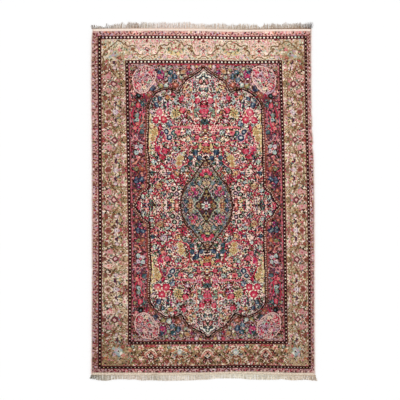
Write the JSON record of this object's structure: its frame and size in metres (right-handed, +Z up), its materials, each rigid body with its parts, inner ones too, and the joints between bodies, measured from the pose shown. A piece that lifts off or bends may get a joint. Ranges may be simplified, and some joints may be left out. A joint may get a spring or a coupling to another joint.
{
  "type": "persian rug",
  "caption": "Hand-knotted wool rug with a central medallion, corner pieces, wide border and cotton fringes, lying flat.",
  "frame": {"origin": "middle of the whole rug's box, fringes included, on the surface it lies on", "axes": "+X across the rug, +Y along it towards the end with the ragged fringe, +Z up out of the pile"},
  "size_m": [1.4122, 2.2494, 0.009],
  "materials": {
    "wool_pile": "short cut wool pile, many colours",
    "overcast_wool": "wool wrapped round the side warps",
    "flatwoven_cotton": "plain weave",
    "fringe_cotton": "loose plied cotton warps"
  },
  "bodies": {
    "root": {"knotted_pile": "wool_pile", "side_cord_left": "overcast_wool", "side_cord_right": "overcast_wool", "kilim_end_top": "flatwoven_cotton", "kilim_end_bottom": "flatwoven_cotton", "fringe_top": "fringe_cotton", "fringe_bottom": "fringe_cotton"}
  },
  "joints": []
}
